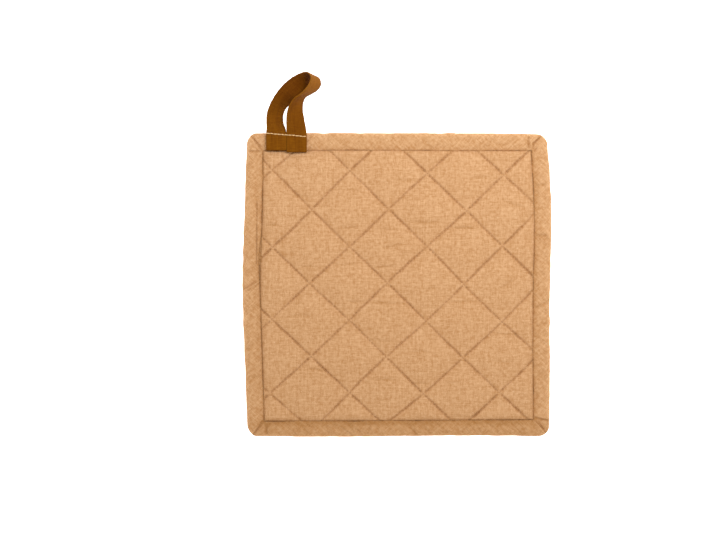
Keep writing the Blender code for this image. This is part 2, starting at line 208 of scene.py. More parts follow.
# On the left side the row of stitches runs on the binding for a while, a
# little away from its edge.
STRAY_SEAM = (15.5, 62.0, -100.9)      # from y, to y, at x
DRAWN = (20.0, 16.5, 1.25)             # at y, over how much of it, how far

# How much painted shade darkens the cloth in the fold at the seam, side by side: in the last half millimetre, and
# over a wider part of the binding's width; most on the bottom side, least at the top.
FoldShade = namedtuple("FoldShade", "side narrow broad reach")
FOLD_SHADES = [
    FoldShade("top",    0.28, 0.16, 0.14),
    FoldShade("left",   0.60, 0.34, 0.30),
    FoldShade("right",  0.55, 0.55, 0.19),
    FoldShade("bottom", 0.60, 1.10, 0.28),
]

TAPE_WIDTH, TAPE_THICK = 14.3, 1.1
TAPE_UNDER, FOLD_GAP, TUCK_LENGTH = 6.7, 0.3, 8.5
Station = namedtuple("Station", "name x y z turn rise")
LOOP = [
    Station("left_seam",   -86.7,  87.1,  8.65, 180,  0),
    Station("left_step",   -86.9,  90.9,  8.3,  179, 22),
    Station("left_low",    -87.8,  96.9,  6.4,  175, 35),
    Station("left_rise",   -87.4, 102.5,  6.2,  173, 38),
    Station("left_lean",   -85.3, 107.3,  7.9,  169, 36),
    Station("left_high",   -82.4, 110.8, 10.7,  159, 27),
    Station("climb",       -79.4, 113.9, 13.6,  148, 14),
    Station("climb_high",  -76.7, 116.5, 16.8,  138,  6),
    Station("sweep",       -73.2, 119.4, 19.5,  135, 12),
    Station("crown_in",    -69.7, 122.5, 21.0,  140, 29),
    Station("crown",       -66.4, 125.9, 21.6,  147, 52),
    Station("crown_turn",  -62.2, 128.7, 22.5,  162, 70),
    Station("tip_out",     -58.7, 126.3, 24.0,  176, 66),
    Station("tip",         -58.7, 121.3, 23.7,  181, 55),
    Station("tip_under",   -61.8, 117.3, 21.3,  184, 53),
    Station("right_neck",  -65.8, 114.7, 18.2,  191, 54),
    Station("right_high",  -69.8, 112.3, 15.0,  194, 54),
    Station("right_mid",   -72.2, 108.0, 12.4,  190, 49),
    Station("right_lean",  -73.2, 102.7, 10.7,  186, 38),
    Station("right_low",   -73.0,  97.1, 10.0,  184, 27),
    Station("right_step",  -72.5,  91.6,  9.2,  182, 15),
    Station("right_seam",  -72.1,  86.1,  8.65, 180,  0),
]
FOLD_Y = {"left": 76.6, "right": 75.3}


# ------------------------------------------------------------------ small tools
def hermite(a, b, m0, m1, t):
    return ((2 * t ** 3 - 3 * t ** 2 + 1) * a + (t ** 3 - 2 * t ** 2 + t) * m0
            + (-2 * t ** 3 + 3 * t ** 2) * b + (t ** 3 - t ** 2) * m1)


def through(values, fraction):
    """A smooth curve through evenly spaced values, at fractions 0 to 1."""
    values = np.asarray(values, float)
    place = np.clip(fraction, 0, 1) * (len(values) - 1)
    i = np.minimum(place.astype(int), len(values) - 2)
    t = place - i
    slope = np.gradient(values)
    return hermite(values[i], values[i + 1], slope[i], slope[i + 1], t)


def side_offset(sides, name, fraction):
    row = next(s for s in sides if s.name == name)
    return through(row[1:], np.asarray(fraction, float))


def lattice(seed, size=64):
    return np.random.default_rng(seed).uniform(-1, 1, (size, size))


LATTICES = {}


def noise(x, y, scale, seed):
    """Smooth noise from -1 to 1 whose features are about scale across."""
    if seed not in LATTICES:
        LATTICES[seed] = lattice(seed)
    table = LATTICES[seed]
    n = len(table)
    u, v = np.asarray(x, float) / scale, np.asarray(y, float) / scale
    i, j = np.floor(u).astype(int), np.floor(v).astype(int)
    a, b = u - i, v - j
    a, b = a * a * a * (a * (a * 6 - 15) + 10), b * b * b * (b * (b * 6 - 15) + 10)
    p = table[i % n, j % n] * (1 - a) + table[(i + 1) % n, j % n] * a
    q = table[i % n, (j + 1) % n] * (1 - a) + table[(i + 1) % n, (j + 1) % n] * a
    return p * (1 - b) + q * b


def fade(t):
    t = np.clip(t, 0, 1)
    return t * t * (3 - 2 * t)


def from_arrays(name, points, faces, material, smooth=True):
    """points in millimetres, faces as rows of indexes."""
    mesh = bpy.data.meshes.new(name)
    mesh.from_pydata((np.asarray(points, float) * MM).tolist(), [],
                     [list(map(int, f)) for f in faces])
    mesh.update()
    if smooth:
        mesh.shade_smooth()
    obj = bpy.data.objects.new(name, mesh)
    obj.data.materials.append(material)
    bpy.context.scene.collection.objects.link(obj)
    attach(obj, "root")
    return obj


def face_outwards(obj):
    bm = bmesh.new()
    bm.from_mesh(obj.data)
    bmesh.ops.recalc_face_normals(bm, faces=bm.faces[:])
    bm.to_mesh(obj.data)
    bm.free()


def add_vector(obj, name, values):
    layer = obj.data.attributes.new(name, "FLOAT_VECTOR", "POINT")
    layer.data.foreach_set("vector", np.asarray(values, np.float32).ravel())


def grid_faces(rows, cols, wrap_rows=False, wrap_cols=False):
    r = np.arange(rows if wrap_rows else rows - 1)
    c = np.arange(cols if wrap_cols else cols - 1)
    i, j = np.meshgrid(r, c, indexing="ij")
    i2, j2 = (i + 1) % rows, (j + 1) % cols
    return np.stack([i * cols + j, i * cols + j2, i2 * cols + j2, i2 * cols + j],
                    -1).reshape(-1, 4)


def segment_distance(x, y, fold):
    """Distance to a fold's line, on which side, and how far along it, 0 to 1."""
    dx, dy = fold.x1 - fold.x0, fold.y1 - fold.y0
    length = math.hypot(dx, dy)
    along = ((x - fold.x0) * dx + (y - fold.y0) * dy) / length
    side = ((y - fold.y0) * dx - (x - fold.x0) * dy) / length
    past = np.maximum(np.maximum(-along, along - length), 0)
    return np.hypot(side, past), side, along / length, past


# ------------------------------------------------------------------ materials
def new_material(name, roughness, sheen, sheen_tint):
    mat = bpy.data.materials.new(name)
    mat.use_nodes = True
    tree = mat.node_tree
    shader = tree.nodes["Principled BSDF"]
    shader.inputs["Roughness"].default_value = roughness
    shader.inputs["Specular IOR Level"].default_value = 0.25
    shader.inputs["Sheen Weight"].default_value = sheen
    shader.inputs["Sheen Roughness"].default_value = 0.5
    shader.inputs["Sheen Tint"].default_value = (*sheen_tint, 1.0)
    return mat, tree, shader


class Nodes:
    """Short names for the nodes that the cloths are made of."""

    def __init__(self, tree):
        self.tree = tree

    def add(self, kind, **values):
        node = self.tree.nodes.new(kind)
        for key, value in values.items():
            setattr(node, key, value)
        return node

    def link(self, a, b):
        self.tree.links.new(a, b)

    def put(self, socket, value):
        if hasattr(value, "is_linked") or hasattr(value, "links"):
            self.link(value, socket)
        else:
            socket.default_value = value

    def math(self, operation, a, b=0.0, c=0.0, clamp=False):
        node = self.add("ShaderNodeMath", operation=operation, use_clamp=clamp)
        self.put(node.inputs[0], a)
        self.put(node.inputs[1], b)
        self.put(node.inputs[2], c)
        return node.outputs[0]

    def mapping(self, vector, scale=(1, 1, 1), turn=0.0, move=(0, 0, 0)):
        node = self.add("ShaderNodeMapping")
        self.link(vector, node.inputs["Vector"])
        node.inputs["Scale"].default_value = scale
        node.inputs["Rotation"].default_value = (0, 0, turn)
        node.inputs["Location"].default_value = move
        return node.outputs[0]

    def noise(self, vector, scale, detail=2.0, rough=0.5):
        node = self.add("ShaderNodeTexNoise")
        self.link(vector, node.inputs["Vector"])
        node.inputs["Scale"].default_value = scale
        node.inputs["Detail"].default_value = detail
        node.inputs["Roughness"].default_value = rough
        return node.outputs["Fac"]

    def spread(self, value, low, high, to_low=0.0, to_high=1.0):
        node = self.add("ShaderNodeMapRange")
        self.link(value, node.inputs["Value"])
        node.inputs["From Min"].default_value = low
        node.inputs["From Max"].default_value = high
        node.inputs["To Min"].default_value = to_low
        node.inputs["To Max"].default_value = to_high
        return node.outputs[0]

    def mix(self, factor, a, b):
        node = self.add("ShaderNodeMix", data_type="RGBA")
        self.put(node.inputs[0], factor)
        self.put(node.inputs[6], a)
        self.put(node.inputs[7], b)
        return node.outputs[2]

    def waves(self, value, per_unit):
        """A sine of the value, from 0 to 1."""
        s = self.math("SINE", self.math("MULTIPLY", value, 2 * math.pi * per_unit))
        return self.math("MULTIPLY_ADD", s, 0.5, 0.5)


def woven(name, dark, light, pale, turn=0.0, pitch=0.00062, slub=1.0, roughness=0.92,
          bump=0.35, mottle=0.55, lower=0.0, laid=False):
    """A plain weave of uneven two-tone yarns, laid out in the object's own metres,
    or on the flat strip that the piece is folded from."""
    mat, tree, shader = new_material(name, roughness, 0.20, (1.0, 0.74, 0.48))
    shader.inputs["Specular IOR Level"].default_value = 0.06
    n = Nodes(tree)
    place = n.add("ShaderNodeTexCoord").outputs["Object"]
    # the yarns wander a little
    drift = n.add("ShaderNodeTexNoise", noise_dimensions="3D")
    n.link(place, drift.inputs["Vector"])
    drift.inputs["Scale"].default_value = 55.0
    drift.inputs["Detail"].default_value = 1.0
    wander = n.add("ShaderNodeVectorMath", operation="MULTIPLY_ADD")
    n.link(drift.outputs["Color"], wander.inputs[0])
    wander.inputs[1].default_value = (0.0011, 0.0011, 0.0)
    flat = n.add("ShaderNodeAttribute", attribute_name="lay").outputs["Vector"] if laid else place
    n.link(flat, wander.inputs[2])
    cloth = n.mapping(wander.outputs[0], turn=turn)
    split = n.add("ShaderNodeSeparateXYZ")
    n.link(cloth, split.inputs[0])
    x, y = split.outputs["X"], split.outputs["Y"]
    per = 1.0 / pitch
    # streaks along the yarns: long noise cells, a yarn or two wide
    warp = n.noise(n.mapping(cloth, (1.0 / (pitch * 1.25), 1.0 / 0.0040, 1.0)), 1.0, 2.5, 0.62)
    weft = n.noise(n.mapping(cloth, (1.0 / 0.0040, 1.0 / (pitch * 1.25), 1.0), move=(3.1, 7.7, 0)),
                   1.0, 2.5, 0.62)
    thick_warp = n.noise(n.mapping(cloth, (1.0 / (pitch * 2.2), 1.0 / 0.022, 1.0), move=(9, 2, 0)),
                         1.0, 1.0, 0.5)
    thick_weft = n.noise(n.mapping(cloth, (1.0 / 0.022, 1.0 / (pitch * 2.2), 1.0), move=(1, 12, 0)),
                         1.0, 1.0, 0.5)
    # which yarn is on top
    up = n.math("MULTIPLY", n.math("SINE", n.math("MULTIPLY", x, math.pi * per)),
                n.math("SINE", n.math("MULTIPLY", y, math.pi * per)))
    over = n.spread(up, -0.35, 0.35)
    tone_warp = n.math("ADD", n.spread(warp, 0.5 - 0.17 / slub, 0.5 + 0.17 / slub),
                       n.spread(thick_warp, 0.38, 0.66, -0.22, 0.22))
    tone_weft = n.math("ADD", n.spread(weft, 0.5 - 0.17 / slub, 0.5 + 0.17 / slub),
                       n.spread(thick_weft, 0.38, 0.66, -0.22, 0.22))
    tone = n.add("ShaderNodeMix", data_type="FLOAT")
    n.link(over, tone.inputs[0])
    n.link(tone_warp, tone.inputs[2])
    n.link(tone_weft, tone.inputs[3])
    blotch = n.noise(place, 430.0, 2.0, 0.6)
    value = n.math("ADD", tone.outputs[0], n.spread(blotch, 0.3, 0.7, -mottle / 2, mottle / 2),
                   clamp=True)
    base = n.mix(value, (*dark, 1), (*light, 1))
    # pale flecks where a thick yarn comes up
    fleck = n.noise(n.mapping(cloth, (1.0 / 0.0016, 1.0 / 0.0013, 1.0), move=(5, 5, 0)), 1.0, 1.0)
    base = n.mix(n.spread(fleck, 0.66, 0.80, 0.0, 0.55), base, (*pale, 1))
    # painted shade: cloth in folds, grooves and seams is painted darker and deeper in colour, as if seen by light
    # that has already met the cloth
    hollow = n.add("ShaderNodeSeparateXYZ")
    n.link(n.add("ShaderNodeAttribute", attribute_name="hollow").outputs["Vector"],
           hollow.inputs[0])
    base = n.mix(n.spread(hollow.outputs["X"], 0.0, 1.0, 0.0, 0.42), base, (0.275, 0.106, 0.010, 1))
    # along a sewn row the needle's holes show between one stitch and the next
    holes = n.spread(n.waves(hollow.outputs["Y"], 1 / 0.0027), 0.35, 0.85)
    base = n.mix(n.math("MULTIPLY", n.math("MULTIPLY", holes, hollow.outputs["Z"]), 0.30), base,
                 (0.22, 0.080, 0.010, 1))
    if lower:
        # painted shade: the bottom length of the strip is painted darker, as it lies in shade
        where = n.add("ShaderNodeSeparateXYZ")
        n.link(place, where.inputs[0])
        base = n.mix(n.spread(where.outputs["Y"], -0.1160, -0.1205, 0.0, lower), base,
                     (0.29, 0.118, 0.022, 1))
    n.link(base, shader.inputs["Base Color"])
    # relief of the yarns
    ridge_warp = n.math("ABSOLUTE", n.math("SINE", n.math("MULTIPLY", x, math.pi * per)))
    ridge_weft = n.math("ABSOLUTE", n.math("SINE", n.math("MULTIPLY", y, math.pi * per)))
    relief = n.add("ShaderNodeMix", data_type="FLOAT")
    n.link(over, relief.inputs[0])
    n.link(n.math("MULTIPLY", ridge_warp, n.spread(warp, 0.25, 0.75, 0.6, 1.3)), relief.inputs[2])
    n.link(n.math("MULTIPLY", ridge_weft, n.spread(weft, 0.25, 0.75, 0.6, 1.3)), relief.inputs[3])
    height = n.math("ADD", relief.outputs[0], n.spread(blotch, 0.3, 0.7, -0.4, 0.4))
    bumps = n.add("ShaderNodeBump")
    bumps.inputs["Strength"].default_value = bump
    bumps.inputs["Distance"].default_value = 0.00022
    n.link(height, bumps.inputs["Height"])
    n.link(bumps.outputs[0], shader.inputs["Normal"])
    return mat


def ribbed(name, dark, light, edge):
    """Webbing: fine ribs across the tape, on the tape's own measure."""
    mat, tree, shader = new_material(name, 0.9, 0.0, (1.0, 0.6, 0.2))
    shader.inputs["Specular IOR Level"].default_value = 0.06
    n = Nodes(tree)
    lay = n.add("ShaderNodeAttribute", attribute_name="lay").outputs["Vector"]
    split = n.add("ShaderNodeSeparateXYZ")
    n.link(lay, split.inputs[0])
    along, across = split.outputs["X"], split.outputs["Y"]
    warp = n.noise(n.mapping(lay, (1 / 0.012, 1 / 0.0006, 1)), 1.0, 2.0, 0.6)
    weft = n.noise(n.mapping(lay, (1 / 0.0008, 1 / 0.006, 1), move=(4, 1, 0)), 1.0, 2.0, 0.6)
    band = n.noise(n.mapping(lay, (1 / 0.040, 1 / 0.0028, 1), move=(7, 3, 0)), 1.0, 1.0, 0.5)
    tone = n.math("ADD", n.math("MULTIPLY", warp, 0.5), n.math("MULTIPLY", weft, 0.5))
    tone = n.math("ADD", tone, n.spread(band, 0.3, 0.7, -0.08, 0.08))
    base = n.mix(n.spread(tone, 0.25, 0.75), (*dark, 1), (*light, 1))
    # the tape is a little lighter at its selvedges
    rim = n.math("ABSOLUTE", across)
    base = n.mix(n.spread(rim, 0.0064, 0.0073, 0.0, 0.55), base, (*edge, 1))
    # the inner face lies in the loop's own shade
    shade = n.add("ShaderNodeSeparateXYZ")
    n.link(n.add("ShaderNodeAttribute", attribute_name="hollow").outputs["Vector"], shade.inputs[0])
    base = n.mix(n.math("MULTIPLY", shade.outputs["X"], 0.34), base, (0.060, 0.007, 0.0, 1))
    # painted highlight: its outer face is painted paler where the tape turns over and faces the light
    base = n.mix(n.math("MULTIPLY", shade.outputs["Y"], 0.24), base, (0.36, 0.150, 0.030, 1))
    n.link(base, shader.inputs["Base Color"])
    ribs = n.waves(along, 1 / 0.00095)
    cords = n.waves(across, 1 / 0.0011)
    height = n.math("ADD", n.math("MULTIPLY", ribs, 0.55), n.math("MULTIPLY", cords, 0.35))
    height = n.math("ADD", height, n.math("MULTIPLY", weft, 0.6))
    bumps = n.add("ShaderNodeBump")
    bumps.inputs["Strength"].default_value = 0.45
    bumps.inputs["Distance"].default_value = 0.00018
    n.link(height, bumps.inputs["Height"])
    n.link(bumps.outputs[0], shader.inputs["Normal"])
    return mat


def spun(name, dark, light):
    """Sewing thread: two plies twisted round each other."""
    mat, tree, shader = new_material(name, 0.7, 0.2, (1.0, 0.9, 0.8))
    n = Nodes(tree)
    lay = n.add("ShaderNodeAttribute", attribute_name="lay").outputs["Vector"]
    split = n.add("ShaderNodeSeparateXYZ")
    n.link(lay, split.inputs[0])
    twist = n.math("ADD", n.math("MULTIPLY", split.outputs["X"], 1 / 0.0011), split.outputs["Y"])
    ply = n.waves(twist, 1.0)
    base = n.mix(ply, (*dark, 1), (*light, 1))
    n.link(base, shader.inputs["Base Color"])
    bumps = n.add("ShaderNodeBump")
    bumps.inputs["Strength"].default_value = 0.5
    bumps.inputs["Distance"].default_value = 0.00010
    n.link(ply, bumps.inputs["Height"])
    n.link(bumps.outputs[0], shader.inputs["Normal"])
    return mat


cloth = woven("cloth", (0.445, 0.223, 0.091), (0.630, 0.371, 0.193), (0.74, 0.50, 0.30))
bias_cloth = woven("binding_cloth", (0.445, 0.220, 0.088), (0.625, 0.370, 0.190),
                   (0.73, 0.50, 0.29), turn=math.radians(45), mottle=0.62, lower=0.22,
                   laid=True)
webbing = ribbed("webbing", (0.110, 0.0295, 0.0006), (0.207, 0.071, 0.0024), (0.21, 0.080, 0.004))
tan_thread = spun("tan_thread", (0.58, 0.33, 0.12), (0.84, 0.58, 0.29))
quilting_thread = spun("quilting_thread", (0.40, 0.19, 0.075), (0.55, 0.30, 0.14))


# ------------------------------------------------------------------ quilted pad
def family(kind):
    """The rows of one direction by rising offset, with one more at each end."""
    rows = sorted((r for r in QUILTING if r.name.startswith(kind)), key=lambda r: r.offset)
    flat = dict(start=-1.0, end=1.0, pull=1.0, s0=0.0, s1=0.0, s2=0.0, s3=0.0, s4=0.0)
    below = Row(kind + "_below", rows[0].angle, rows[0].offset - ROW_SPACING, **flat)
    above = Row(kind + "_above", rows[-1].angle, rows[-1].offset + ROW_SPACING, **flat)
    return [below] + rows + [above]


FAMILIES = {"rise": family("rise"), "fall": family("fall")}


def row_stray(row, along):
    """How far a row lies beside its straight line: by its table, and by the
    small wavering of a row sewn by hand through a soft pad."""
    waver = 0.20 * noise(along, 0 * along + row.offset, 5.5, 18)
    return through(row[6:], (along - row.start) / (row.end - row.start)) + waver


def row_distance(row, x, y):
    a = math.radians(row.angle)
    along = math.cos(a) * x + math.sin(a) * y
    stray = row_stray(row, along)
    return -math.sin(a) * x + math.cos(a) * y - row.offset - stray


def follow_seam(x, y):
    """The pad drawn as a square, pulled out to the seam's own line."""
    fx = np.clip((x / SEAM_HALF[0] + 1) / 2, 0, 1)
    fy = np.clip((y / SEAM_HALF[1] + 1) / 2, 0, 1)
    dx = side_offset(SEAM_SIDES, "right", fy) * fx - side_offset(SEAM_SIDES, "left", fy) * (1 - fx)
    dy = side_offset(SEAM_SIDES, "top", fx) * fy - side_offset(SEAM_SIDES, "bottom", fx) * (1 - fy)
    return x + dx, y + dy


def back_to_square(x, y):
    u, v = x, y
    for _ in range(4):
        fx, fy = follow_seam(u, v)
        u, v = u + x - fx, v + y - fy
    return u, v


def row_index(kind, x, y):
    """Which gap between rows a point lies in, as a number that grows evenly."""
    rows = FAMILIES[kind]
    x, y = follow_seam(x, y)
    d = np.stack([row_distance(r, x, y) for r in rows])
    k = np.clip((d >= 0).sum(0) - 1, 0, len(rows) - 2)
    take = np.arange(d.shape[1])
    a, b = d[k, take], d[k + 1, take]
    return k + a / (a - b), a, -b, k


def dome(distance, reach):
    t = np.clip(distance / reach, 0, 1)
    return np.sqrt(1 - (1 - t) ** 2)


def swell(distance, reach):
    return np.sin(np.clip(distance / reach, 0, 1) * np.pi / 2)


def crease_axes(c, x, y):
    """Distances along a crease, which bends a little, and from it."""
    a = math.radians(c.angle)
    u = (x - c.x) * math.cos(a) + (y - c.y) * math.sin(a)
    bend = 0.35 * np.sin(u / c.length * 5.0 + c.x)
    return u, -(x - c.x) * math.sin(a) + (y - c.y) * math.cos(a) + bend


def pad_heights(x, y):
    """Top and underside of the pad at points about its middle, and the painted shade and needle holes for its
    colour.
    """
    inside = np.minimum(SEAM_HALF[0] - np.abs(x), SEAM_HALF[1] - np.abs(y))
    edge = dome(np.maximum(inside, 0), EDGE_REACH)
    puff = np.ones_like(x)
    pinch = np.zeros_like(x)
    pucker = np.zeros_like(x)
    sewn_along, sewn = np.zeros_like(x), np.zeros_like(x)
    near_to = {}
    for kind in ("rise", "fall"):
        index, below, above, k = row_index(kind, x, y)
        near_to[kind] = (np.minimum(below, above), np.where(below < above, k, k + 1), below < above)
    for kind, other in (("rise", "fall"), ("fall", "rise")):
        near, which, beyond = near_to[kind]
        apart = near_to[other][0]
        pull = np.array([r.pull for r in FAMILIES[kind]])[which]
        puff *= swell(near, PUFF_REACH)
        a = math.radians(45 if kind == "rise" else -45)
        along = math.cos(a) * x + math.sin(a) * y
        uneven = np.clip(1 + 0.50 * noise(along, which * 40.0, 4.4, 11)
                         + 0.30 * noise(along, which * 40.0, 19.0, 20), 0.15, 2)
        # where two rows cross, the cloth is hardly drawn in
        held = 0.24 + 0.76 * fade((apart - 0.4) / CROSSING)
        pinch += pull * uneven * held * PINCH_DEEP * np.exp(-(near / PINCH_WIDE) ** 2)
        bite = pull * uneven * held * np.exp(-(near / 0.62) ** 2)
        sewn_along, sewn = np.where(bite > sewn, along, sewn_along), np.maximum(bite, sewn)
        # small gathers that leave the row on both sides
        ripple = noise(along, which * 40.0 + np.where(beyond, 7.0, 0.0), 2.1, 12)
        pucker += pull * 0.17 * ripple * np.exp(-near / 2.6) * fade(near / 0.8)
    lift = 1 + 0.07 * noise(x, y, 34.0, 13)
    wave = (0.10 * noise(x, y, 9.0, 14) + 0.07 * noise(x, y, 4.2, 15)) * edge
    crease = np.zeros_like(x)
    real_x, real_y = follow_seam(x, y)
    for c in CREASES:
        u, v = crease_axes(c, real_x, real_y)
        crease += 3.2 * c.deep * np.exp(-(v / (c.wide * 0.5)) ** 2) * np.exp(-(u / (c.length * 0.5)) ** 4)
    top = (FLANGE_TOP + (CHANNEL_TOP - FLANGE_TOP) * edge
           + (PUFF_TOP - CHANNEL_TOP) * lift * puff * edge
           - pinch * np.clip(edge * 1.5, 0, 1) + (pucker + wave - crease) * fade(inside / 2.5))
    # short gathers where the binding's stitches hold the pad down
    run = np.where(np.abs(x) / SEAM_HALF[0] > np.abs(y) / SEAM_HALF[1], y, x)
    top += 0.22 * noise(run, x * 0.1, 2.6, 16) * np.exp(-((inside - 2.2) / 1.8) ** 2)
    floor = (FLANGE_FLOOR - (FLANGE_FLOOR - CHANNEL_FLOOR) * edge - 2.2 * puff * edge
             + pinch * 0.6 + pucker * 0.5)
    floor = np.maximum(floor, 0.02)
    outside = inside < 0
    top = np.where(outside, FLANGE_TOP - 0.10, top)
    floor = np.where(outside, FLANGE_FLOOR, floor)
    # painted shade for the cloth's colour: in the sewn rows, at the seam (strongest on the left and bottom,
    # weakest at the top) and in the creases
    across, up = x / SEAM_HALF[0], y / SEAM_HALF[1]
    seam_shade_by_side = np.where(up > np.abs(across), 0.42, np.where(across > np.abs(up), 0.70, 1.1))
    hollow = (0.46 * pinch / PINCH_DEEP * np.clip(edge * 1.5, 0, 1)
              + seam_shade_by_side * np.exp(-(np.maximum(inside, 0) / 0.8) ** 2) + 1.1 * np.clip(crease, 0, 1))
    return (np.maximum(top, floor + 1.2), floor,
            np.stack([np.clip(hollow, 0, 1.2), sewn_along * MM, np.clip(sewn, 0, 1)], 1))


def build_pad():
    gaps = len(FAMILIES["rise"]) - 1
    half = np.array(MESH_STEPS) / ROW_SPACING
    steps = np.concatenate([half, [0.5], 1 - half[:0:-1]])
    lines = np.concatenate([g + steps for g in range(gaps)] + [[float(gaps)]])
    u, v = np.meshgrid(lines, lines, indexing="ij")
    want = np.stack([u.ravel(), v.ravel()])
    # walk each grid point to where its two rows' gaps are as wanted
    s, c = math.sin(math.radians(44)), math.cos(math.radians(44))
    a0, b0 = FAMILIES["rise"][0].offset, FAMILIES["fall"][0].offset
    p = a0 + want[0] * ROW_SPACING
    q = b0 + want[1] * ROW_SPACING
    x, y = (q - p) / (2 * s), (p + q) / (2 * c)
    for _ in range(14):
        dp = (want[0] - row_index("rise", x, y)[0]) * ROW_SPACING
        dq = (want[1] - row_index("fall", x, y)[0]) * ROW_SPACING
        x, y = x + (dq - dp) / (2 * s), y + (dp + dq) / (2 * c)
    n = len(lines)
    faces = grid_faces(n, n)
    reach = (SEAM_HALF[0] + FLANGE_RUN, SEAM_HALF[1] + FLANGE_RUN)
    keep = ((np.abs(x[faces]).min(1) < reach[0]) & (np.abs(y[faces]).min(1) < reach[1]))
    faces = faces[keep]
    used = np.unique(faces)
    renumber = np.full(len(x), -1)
    renumber[used] = np.arange(len(used))
    mesh = bpy.data.meshes.new("pad_flat")
    mesh.from_pydata(np.stack([x[used], y[used], 0 * x[used]], 1).tolist(), [],
                     renumber[faces].tolist())
    bm = bmesh.new()
    bm.from_mesh(mesh)
    bpy.data.meshes.remove(mesh)
    for sign in (1, -1):
        for inset in (-FLANGE_RUN, 0.0, 0.35, 0.8, 1.5):
            for co, no in ((Vector((sign * (SEAM_HALF[0] - inset), 0, 0)), Vector((sign, 0, 0))),
                           (Vector((0, sign * (SEAM_HALF[1] - inset), 0)), Vector((0, sign, 0)))):
                bmesh.ops.bisect_plane(bm, geom=bm.verts[:] + bm.edges[:] + bm.faces[:],
                                       dist=0.02, plane_co=co, plane_no=no,
                                       clear_outer=inset < 0)
    bmesh.ops.remove_doubles(bm, verts=bm.verts[:], dist=0.03)
    # a finer net where a crease lies
    middles = np.array([f.calc_center_median()[:2] for f in bm.faces])
    real_x, real_y = follow_seam(middles[:, 0], middles[:, 1])
    at_crease = np.zeros(len(middles), bool)
    for c in CREASES:
        u, v = crease_axes(c, real_x, real_y)
        at_crease |= (np.abs(u) < c.length * 0.5 + 1.5) & (np.abs(v) < c.wide + 0.7)
    edges = {e for f, hit in zip(list(bm.faces), at_crease) if hit for e in f.edges}
    bmesh.ops.subdivide_edges(bm, edges=list(edges), cuts=2, use_grid_fill=True)
    bmesh.ops.triangulate(bm, faces=[f for f in bm.faces if len(f.verts) > 4])
    under = list(bm.verts)
    made = bmesh.ops.extrude_face_region(bm, geom=bm.faces[:])
    over = {e for e in made["geom"] if isinstance(e, bmesh.types.BMVert)}
    everything = list(bm.verts)
    x = np.array([w.co.x for w in everything])
    y = np.array([w.co.y for w in everything])
    on_top = np.array([w in over for w in everything])
    top, floor, hollow = pad_heights(x, y)
    z = np.where(on_top, top, floor)
    # the very corner of the flange is taken off, inside the binding
    corner = np.maximum(np.abs(x) / reach[0] + np.abs(y) / reach[1] - 1.985, 0) * 60
    x, y = x - np.sign(x) * corner, y - np.sign(y) * corner
    x, y = follow_seam(x, y)
    for w, px, py, pz in zip(everything, x, y, z):
        w.co = ((px + MIDDLE[0]) * MM, (py + MIDDLE[1]) * MM, pz * MM)
    bmesh.ops.recalc_face_normals(bm, faces=bm.faces[:])
    mesh = bpy.data.meshes.new("quilted_pad")
    bm.to_mesh(mesh)
    bm.free()
    mesh.shade_smooth()
    obj = bpy.data.objects.new("quilted_pad", mesh)
    mesh.materials.append(cloth)
    add_vector(obj, "hollow", hollow)
    bpy.context.scene.collection.objects.link(obj)
    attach(obj, "root")
    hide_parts("pad")
    return obj


# ------------------------------------------------------------------ stitches
def stitch_tubes(name, runs, radius, material, sides=6, rings=7):
    """Stitches as one joined mesh. runs: (start, end, up) in millimetres, up being
    how far the stitch's middle stands above its two ends."""
    ring = np.linspace(0, 1, rings)
    angle = np.arange(sides) / sides * 2 * np.pi
    points, faces, lay = [], [], []
    cell = grid_faces(rings, sides, wrap_cols=True)
    caps = [list(range(sides))[::-1], [(rings - 1) * sides + k for k in range(sides)]]
    ends = []
    for number, (start, end, up) in enumerate(runs):
        start, end = np.asarray(start, float), np.asarray(end, float)
        run = end - start
        length = np.linalg.norm(run)
        run = run / length
        side = np.cross(run, (0, 0, 1.0))
        side /= np.linalg.norm(side)
        lift = np.cross(side, run)
        arch = np.sin(np.pi * ring) ** 0.6
        centre = start + np.outer(ring * length, run) + np.outer(arch * up, lift)
        thick = radius * (0.55 + 0.45 * np.sin(np.pi * np.clip(ring, 0.02, 0.98)) ** 0.35)
        loop = (centre[:, None, :] + thick[:, None, None]
                * (np.cos(angle)[None, :, None] * side + np.sin(angle)[None, :, None] * lift))
        base = number * rings * sides
        points.append(loop.reshape(-1, 3))
        faces.append(cell + base)
        ends += [[i + base for i in cap] for cap in caps]
        lay.append(np.stack([np.repeat(ring * length * MM, sides),
                             np.tile(angle / (2 * np.pi), rings), np.zeros(rings * sides)], 1))
    obj = from_arrays(name, np.concatenate(points),
                      [f.tolist() for f in np.concatenate(faces)] + ends, material)
    add_vector(obj, "lay", np.concatenate(lay))
    face_outwards(obj)
    return obj


def row_points(row, step):
    """Points along a row, inside the seam, about the pad's middle."""
    a = math.radians(row.angle)
    along = np.arange(row.start - 6.0, row.end + 6.0, step)
    d = row.offset + row_stray(row, along)
    x = along * math.cos(a) - d * math.sin(a)
    y = along * math.sin(a) + d * math.cos(a)
    u, v = back_to_square(x, y)
    inside = np.minimum(SEAM_HALF[0] - np.abs(u), SEAM_HALF[1] - np.abs(v)) > 0.8
    return x[inside], y[inside]


